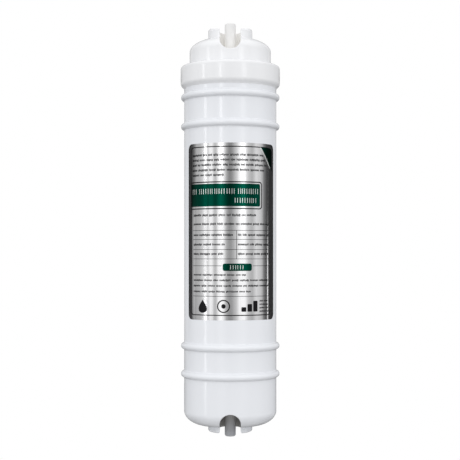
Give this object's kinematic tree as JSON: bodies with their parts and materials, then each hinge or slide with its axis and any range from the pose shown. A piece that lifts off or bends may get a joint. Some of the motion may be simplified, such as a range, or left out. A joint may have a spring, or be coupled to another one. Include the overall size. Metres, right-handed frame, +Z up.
{
  "type": "ro membrane element",
  "caption": "White inline reverse-osmosis membrane element: beaded barrel, deep-skirted domed cap, slotted collars with short stems at both ends, silver film label.",
  "frame": {"origin": "on the axis, midway between the tips of the two stems, at the centre of the overall box", "axes": "+Z up the axis from the grey outlet stem to the white inlet stem; the slots and the label face -Y; +X to the right seen from the front"},
  "size_m": [0.072, 0.072, 0.3],
  "materials": {
    "white_plastic": "glossy cool-white moulded plastic",
    "satin_white_plastic": "satin neutral-white moulded plastic",
    "grey_plastic": "satin mid-grey moulded plastic",
    "silver_film": "brushed metallised film with dark and green print",
    "black_rubber": "black seal rubber",
    "tube_plastic": "off-white tube plastic",
    "fitting_plastic": "light grey moulded plastic",
    "membrane_sheet": "wound membrane and mesh",
    "wrap_tape": "blue wrapping tape"
  },
  "bodies": {
    "root": {"housing_body": "white_plastic", "housing_cap": "white_plastic", "inlet_stem": "satin_white_plastic", "outlet_stem": "grey_plastic", "label": "silver_film", "inlet_o_ring": "black_rubber", "outlet_o_ring": "black_rubber", "permeate_tube": "tube_plastic", "lower_tube_o_ring": "black_rubber", "upper_tube_o_ring": "black_rubber", "tube_plug": "fitting_plastic", "membrane_roll": "membrane_sheet", "roll_wrap": "wrap_tape", "drain_end_cap": "fitting_plastic", "feed_end_cap": "fitting_plastic", "brine_seal": "black_rubber"}
  },
  "joints": []
}
